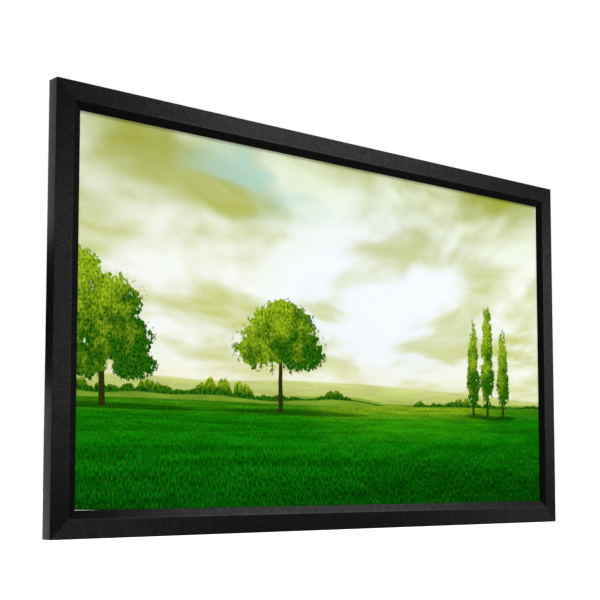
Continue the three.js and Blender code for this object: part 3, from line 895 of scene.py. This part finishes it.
def rail(side):
    """One mitred rail: rings of the section along it, a chamber inside, and flat ends."""
    length = SIDES[side][0]
    outline = rounded(rail_corners())
    chamber_back = CHANNEL_FLOOR - RAIL_WALL
    chamber = [
        (RAIL_WALL, RAIL_WALL, BARE_LOOK), (CHANNEL_END, RAIL_WALL, BARE_LOOK),
        (CHANNEL_END, chamber_back, BARE_LOOK), (RAIL_WALL, chamber_back, BARE_LOOK),
    ]
    marks = perimeter_marks(outline)
    groove = MITRE_GROOVE * math.sqrt(2)
    rings = [(-1, 0.0, sunk(outline)), (-1, groove, outline), (0, 0.0, outline),
             (1, groove, outline), (1, 0.0, sunk(outline))]
    points, faces, looks, uvs = [], [], [], []
    alongs = []
    for hand, back_off, ring in rings:
        for inset, depth, _ in ring + chamber:
            along = hand * (length / 2 - inset - back_off)
            alongs.append(along)
            points.append(side_point(side, along, inset, depth))
    per_ring = len(outline) + len(chamber)
    scale = min(MAP_LENGTH / (length / 2), MAP_ROW_HEIGHT / marks[-1])

    def wrap_faces(start, count, ring):
        for i in range(count):
            following = (i + 1) % count
            corners = [(ring, i), (ring, following), (ring + 1, following), (ring + 1, i)]
            faces.append(tuple(r * per_ring + start + j for r, j in corners))
            looks.append((outline + chamber)[start + i][2])
            for (r, _), mark in zip(corners, (i, i + 1, i + 1, i)):
                place = alongs[r * per_ring + start + i]
                if start == 0:
                    row, left = (0, length / 2) if ring < 2 else (1, 0.0)
                    up_row = MAP_LOW + row * MAP_ROW_STEP + marks[mark] * scale
                    uvs.append((MAP_LEFT + (place + left) * scale, up_row))
                else:
                    across = 0.5 + place * MAP_CHAMBER_SCALE
                    uvs.append((across, MAP_CHAMBER + mark * MAP_CHAMBER_STEP))

    for ring in range(len(rings) - 1):
        wrap_faces(0, len(outline), ring)
        wrap_faces(len(outline), len(chamber), ring)
    ends = (rings[0][2], chamber)
    loops = [[Vector((inset, depth, 0.0)) for inset, depth, _ in loop] for loop in ends]
    for base in (0, (len(rings) - 1) * per_ring):
        for triangle in tessellate_polygon(loops):
            faces.append(tuple(base + i for i in triangle))
            looks.append(BARE_LOOK)
            uvs.extend([(MAP_LEFT + MAP_END_STEP * j, MAP_ENDS) for j in range(3)])
    # Each rail has its own copies of the velvet, which differ only in their painted light and shade
    materials = [
        velvet_finish(f"velvet_flat_{side}", side, FLAT_PAINTED_SHADING[side]),
        velvet_finish(f"velvet_bevel_{side}", side, BEVEL_PAINTED_SHADING[side]),
        profile_upright if side in UPRIGHT_SIDES else profile_across,
    ]
    made = mesh_object(
        f"wrapped_rail_{side}", points, faces, materials, looks, uvs, smooth_angle=32.0
    )
    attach(made, "root")
    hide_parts(f"frame_rail_{side}")


for side in SIDES:
    rail(side)


# Tension rods and springs
def spring_places(side):
    """Where along a side its springs stand."""
    usable = SIDES[side][0] - 2 * (ROD_END_GAP + SPRING_END_MARGIN)
    count = int(usable / SPRING_PITCH) + 1
    return [(i - (count - 1) / 2) * SPRING_PITCH for i in range(count)]


def eased(part):
    """0 to 1 with a soft start and end."""
    part = min(max(part, 0.0), 1.0)
    return part * part * (3 - 2 * part)


def spring_path():
    """The wire's middle line as (along, inset, depth): hook, coil, and loop round the rod."""
    bend_inset = HOOK_INSET + HOOK_BEND
    bend_depth = ROD_DEPTH - HOOK_BEND
    line = [(0.0, HOOK_INSET, HOOK_TIP_DEPTH), (0.0, HOOK_INSET, (HOOK_TIP_DEPTH + bend_depth) / 2)]
    for step in range(HOOK_STEPS + 1):
        angle = math.pi - math.pi / 2 * step / HOOK_STEPS
        inset = bend_inset + HOOK_BEND * math.cos(angle)
        line.append((0.0, inset, bend_depth + HOOK_BEND * math.sin(angle)))
    line.append((0.0, COIL_START - COIL_LEAD, ROD_DEPTH))
    steps = COIL_TURNS * COIL_STEPS
    for step in range(steps + 1):
        part = step / steps
        angle = 2 * math.pi * COIL_TURNS * part
        turns_in = COIL_TURNS * min(part, 1 - part)
        reach = COIL_RADIUS * eased(turns_in * 2)
        inset = COIL_START + (COIL_END - COIL_START) * part
        line.append((reach * math.sin(angle), inset, ROD_DEPTH + reach * math.cos(angle)))
    line.append((0.0, RING_LEAD, ROD_DEPTH))
    meet = math.acos(RING_RADIUS / (ROD_INSET - RING_LEAD))
    for step in range(RING_STEPS + 1):
        angle = math.pi - meet - (2 * math.pi - meet - RING_OPENING) * step / RING_STEPS
        aside = WIRE_RADIUS * RING_ASIDE * step / RING_STEPS
        inset = ROD_INSET + RING_RADIUS * math.cos(angle)
        line.append((aside, inset, ROD_DEPTH + RING_RADIUS * math.sin(angle)))
    return line


def tension_rod(side):
    """A round rod with a small chamfer at each end."""
    end = SIDES[side][0] / 2 - ROD_END_GAP
    stations = [-end, -end + ROD_CHAMFER, end - ROD_CHAMFER, end]
    path = [side_point(side, along, ROD_INSET, ROD_DEPTH) for along in stations]
    radii = [ROD_RADIUS - ROD_CHAMFER, ROD_RADIUS, ROD_RADIUS, ROD_RADIUS - ROD_CHAMFER]
    points, faces = tube(path, radii, ROD_SIDES)
    rod = mesh_object(f"glass_fibre_rod_{side}", points, faces, [glass_fibre])
    return rod


def tension_springs(side):
    """One side's row of springs."""
    line = spring_path()
    parts = []
    for middle in spring_places(side):
        path = [side_point(side, middle + along, inset, depth) for along, inset, depth in line]
        parts.append(tube(path, WIRE_RADIUS, WIRE_SIDES))
    points, faces = joined(parts)
    springs = mesh_object(f"tension_springs_{side}", points, faces, [zinc], smooth_angle=60.0)
    return springs


for side in SIDES:
    for made in (tension_rod(side), tension_springs(side)):
        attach(made, "root")
        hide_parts(f"tension_rod_{side}")


# Projection fabric: one sheet whose edge tabs fold back round the rods and are welded down
def sleeve_stretches(side):
    """Start and end along the side of each stretch of sleeve between the springs."""
    end = SIDES[side][0] / 2 - ROD_END_GAP - SLEEVE_TO_ROD_END
    places = spring_places(side)
    starts = [-end] + [place + NOTCH_WIDTH / 2 for place in places]
    ends = [place - NOTCH_WIDTH / 2 for place in places] + [end]
    return list(zip(starts, ends))


def sleeve_line():
    """The folded tab as (inset, depth, outward inset, outward depth) from the sheet's edge."""
    line = [(FABRIC_INSET, FABRIC_DEPTH, 0.0, -1.0)]
    turn = math.pi + SLEEVE_LEAN
    for step in range(SLEEVE_STEPS + 1):
        angle = -math.pi / 2 - turn * step / SLEEVE_STEPS
        cos, sin = math.cos(angle), math.sin(angle)
        line.append((ROD_INSET + SLEEVE_RADIUS * cos, ROD_DEPTH + SLEEVE_RADIUS * sin, cos, sin))
    leave_inset, leave_depth = line[-1][:2]
    seam_start = leave_inset + (leave_depth - SEAM_DEPTH) / math.tan(SLEEVE_LEAN)
    half = SLEEVE_LEAN / 2
    line.append((seam_start, SEAM_DEPTH, math.sin(half), math.cos(half)))
    line.append((SEAM_END, SEAM_DEPTH, 0.0, 1.0))
    return line


def line_lengths(line):
    """How far along the tab's line each of its points lies."""
    lengths = [0.0]
    for (a_inset, a_depth, _, _), (b_inset, b_depth, _, _) in zip(line, line[1:]):
        lengths.append(lengths[-1] + math.hypot(b_inset - a_inset, b_depth - a_depth))
    return lengths


PICTURE_LOOK, TAB_LOOK, BACK_LOOK = 0, 1, 2


class Sheet:
    """A thin sheet laid out as quads in its middle plane, then given two faces and a rim."""

    def __init__(self):
        self.places = []
        self.outward = []
        self.ids = {}
        self.quads = []

    def point(self, place, outward):
        key = tuple(round(number, 6) for number in place)
        if key not in self.ids:
            self.ids[key] = len(self.places)
            self.places.append(place)
            self.outward.append(outward)
        return self.ids[key]

    def build(self):
        half = FABRIC_THICKNESS / 2
        count = len(self.places)
        points = [p + n * half for p, n in zip(self.places, self.outward)]
        points += [p - n * half for p, n in zip(self.places, self.outward)]
        faces, looks, uvs = [], [], []
        edges = {}
        for ids, front_uvs, back_uvs, look in self.quads:
            faces += [tuple(ids), tuple(count + i for i in reversed(ids))]
            looks += [look, BACK_LOOK]
            uvs += front_uvs + back_uvs[::-1]
            for i in range(4):
                edges[(ids[i], ids[(i + 1) % 4])] = (back_uvs[i], back_uvs[(i + 1) % 4])
        for (a, b), (uv_a, uv_b) in edges.items():
            if (b, a) not in edges:
                faces.append((b, a, count + a, count + b))
                looks.append(BACK_LOOK)
                uvs += [uv_b, uv_a, uv_a, uv_b]
        return points, faces, looks, uvs


# The sheet's flat map: the front above, the back below at half the size, and beside the back the
# tabs in strips, outer faces first
MAP_MARGIN = 0.01
MAP_SCALE = (1 - 2 * MAP_MARGIN) / (2 * SHEET_HALF_WIDTH)
FRONT_MAP_BASE = 0.43
BACK_MAP_SHARE = 0.5
STRIP_MAP_LEFT = 0.53
STRIP_MAP_WIDTH = 0.090
STRIP_MAP_HEIGHT = 0.018
STRIPS_PER_ROW = 5
STRIP_ROWS = 8


def flat_map(x, z, share, base):
    """The place in the flat map of a point on the stretched part."""
    scale = MAP_SCALE * share
    return (MAP_MARGIN + (x + SHEET_HALF_WIDTH) * scale, base + (z + SHEET_HALF_HEIGHT) * scale)


def grid_stations(sides, edge):
    """Where the sheet's grid is cut, with each end of a tab among the cuts."""
    cuts = set()
    for side in sides:
        for stretch in sleeve_stretches(side):
            cuts.update(round(place, 6) for place in stretch)
    edge = round(edge, 6)
    return sorted(cuts | {-place for place in cuts} | {edge, -edge})


def add_flat_part(sheet):
    """The stretched part of the sheet, from edge to edge."""
    columns = grid_stations(("top", "bottom"), SHEET_HALF_WIDTH)
    rows = grid_stations(UPRIGHT_SIDES, SHEET_HALF_HEIGHT)
    forward = Vector((0.0, -1.0, 0.0))
    y = FRONT_Y + FABRIC_DEPTH
    for x0, x1 in zip(columns, columns[1:]):
        for z0, z1 in zip(rows, rows[1:]):
            corners = [(x0, z0), (x1, z0), (x1, z1), (x0, z1)]
            ids = [sheet.point(Vector((x, y, z)), forward) for x, z in corners]
            front = [flat_map(x, z, 1.0, FRONT_MAP_BASE) for x, z in corners]
            back = [flat_map(x, z, BACK_MAP_SHARE, MAP_MARGIN) for x, z in corners]
            sheet.quads.append((ids, front, back, PICTURE_LOOK))


def add_sleeves(sheet):
    """The tabs folded back round the rods, one for each stretch between the springs."""
    line = sleeve_line()
    lengths = line_lengths(line)
    spot = 0
    for side in SIDES:
        for start, end in sleeve_stretches(side):
            left = STRIP_MAP_LEFT + (spot % STRIPS_PER_ROW) * STRIP_MAP_WIDTH
            low = MAP_MARGIN + (spot // STRIPS_PER_ROW) * STRIP_MAP_HEIGHT
            for i in range(len(line) - 1):
                ids, front, back = [], [], []
                for along, j in ((start, i), (end, i), (end, i + 1), (start, i + 1)):
                    inset, depth, out_inset, out_depth = line[j]
                    place = side_point(side, along, inset, depth)
                    ids.append(sheet.point(place, side_direction(side, out_inset, out_depth)))
                    map_x = left + (along - start) * MAP_SCALE
                    map_y = low + lengths[j] * MAP_SCALE
                    front.append((map_x, map_y))
                    back.append((map_x, map_y + STRIP_ROWS * STRIP_MAP_HEIGHT))
                sheet.quads.append((ids, front, back, TAB_LOOK))
            spot += 1


def make_fabric():
    """The whole sheet, in place of the CAD fabric. Its area is worked out but not used."""
    sheet = Sheet()
    add_flat_part(sheet)
    add_sleeves(sheet)
    points, faces, looks, uvs = sheet.build()
    fabric = mesh_object(
        "tensioned_fabric", points, faces, [picture_face, fabric_face, fabric_back], looks, uvs
    )
    tab = line_lengths(sleeve_line())[-1]
    sleeves = sum(end - start for side in SIDES for start, end in sleeve_stretches(side))
    area = 4 * SHEET_HALF_WIDTH * SHEET_HALF_HEIGHT + sleeves * tab
    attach(fabric, "root")
    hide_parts("projection_fabric")


make_fabric()


# Light, floor and the dark card
AMBIENT = 0.45
FLOOR_DROP = 0.75
FLOOR_HALF = 60.0
FLOOR_GREY = (0.82, 0.82, 0.82, 1.0)
# Where the floor starts and ends to brighten, and how much it glows before
FLOOR_FADE = (2.4, 7.0)
FLOOR_GLOW = 0.12
# The card's middle, and the way from there to its side and to its top
CARD_MIDDLE = Vector((-2.06, 1.76, 0.235))
CARD_SIDE = Vector((0.792, 0.432, 0.0))
CARD_TOP = Vector((0.0, 0.0, 0.33))
# Each lamp's place, width and power
LAMPS = {
    "top": ((1.2, -6.0, 10.0), 3.5, 1100.0),
    "front": ((1.5, -6.5, 1.5), 4.0, 75.0),
    "back": ((1.5, 5.0, 3.5), 3.0, 140.0),
}


def seen_by_eye(tree):
    """1 for rays that show the background, straight or in a gloss."""
    rays = tree.nodes.new("ShaderNodeLightPath")
    flags = [Field(tree, rays.outputs[name])
             for name in ("Is Camera Ray", "Is Glossy Ray", "Is Transmission Ray")]
    return flags[0].most(flags[1]).most(flags[2])


def make_world():
    """A white background, dimmer as a source of light than it looks."""
    world = bpy.data.worlds.new("studio")
    world.use_nodes = True
    background = world.node_tree.nodes["Background"]
    background.inputs["Color"].default_value = (1.0, 1.0, 1.0, 1.0)
    seen = seen_by_eye(world.node_tree)
    feed(world.node_tree, background.inputs["Strength"], seen.rise(0.0, 1.0, AMBIENT, 1.0))
    bpy.context.scene.world = world


def panel(name, middle, side, top, material):
    """A flat rectangle, given by the way from its middle to its side and to its top."""
    corners = [middle - side - top, middle + side - top, middle + side + top, middle - side + top]
    return mesh_object(name, corners, [(0, 1, 2, 3)], [material])


def make_floor():
    """A light floor that brightens into the background away from the screen."""
    material, shader, _, (x, y, _) = start_material("studio_floor")
    tree = material.node_tree
    away = (x.squared() + y.squared()).math("SQRT")
    glow = seen_by_eye(tree) * away.rise(*FLOOR_FADE, FLOOR_GLOW, 1.0)
    feed(tree, shader.inputs["Emission Strength"], glow)
    finish_material(
        shader,
        {"Base Color": FLOOR_GREY, "Roughness": 0.9, "Specular IOR Level": 0.0,
         "Emission Color": (1.0, 1.0, 1.0, 1.0)},
    )
    middle = Vector((0.0, 0.0, -HALF_HEIGHT - FLOOR_DROP))
    side, top = Vector((FLOOR_HALF, 0.0, 0.0)), Vector((0.0, FLOOR_HALF, 0.0))
    floor = panel("studio_floor", middle, side, top, material)


def make_card():
    """A dark card behind the left side, which only the rail's satin side face reflects."""
    material, shader, *_ = start_material("dark_card")
    finish_material(shader, {"Base Color": (0.0, 0.0, 0.0, 1.0), "Specular IOR Level": 0.0})
    card = panel("dark_card", CARD_MIDDLE, CARD_SIDE, CARD_TOP, material)
    card.visible_camera = False
    card.visible_diffuse = False
    card.visible_shadow = False


def area_lamp(name, place, width, power):
    """A round lamp that shines at the middle of the screen."""
    data = bpy.data.lights.new(name, "AREA")
    data.shape = "DISK"
    data.size = width
    data.energy = power
    lamp = new_object(name, data)
    lamp.location = place
    lamp.rotation_euler = aimed(-Vector(place))
    lamp.visible_camera = False


make_world()
make_floor()
make_card()
for name, settings in LAMPS.items():
    area_lamp(name, *settings)
bpy.context.scene.view_settings.view_transform = "Standard"
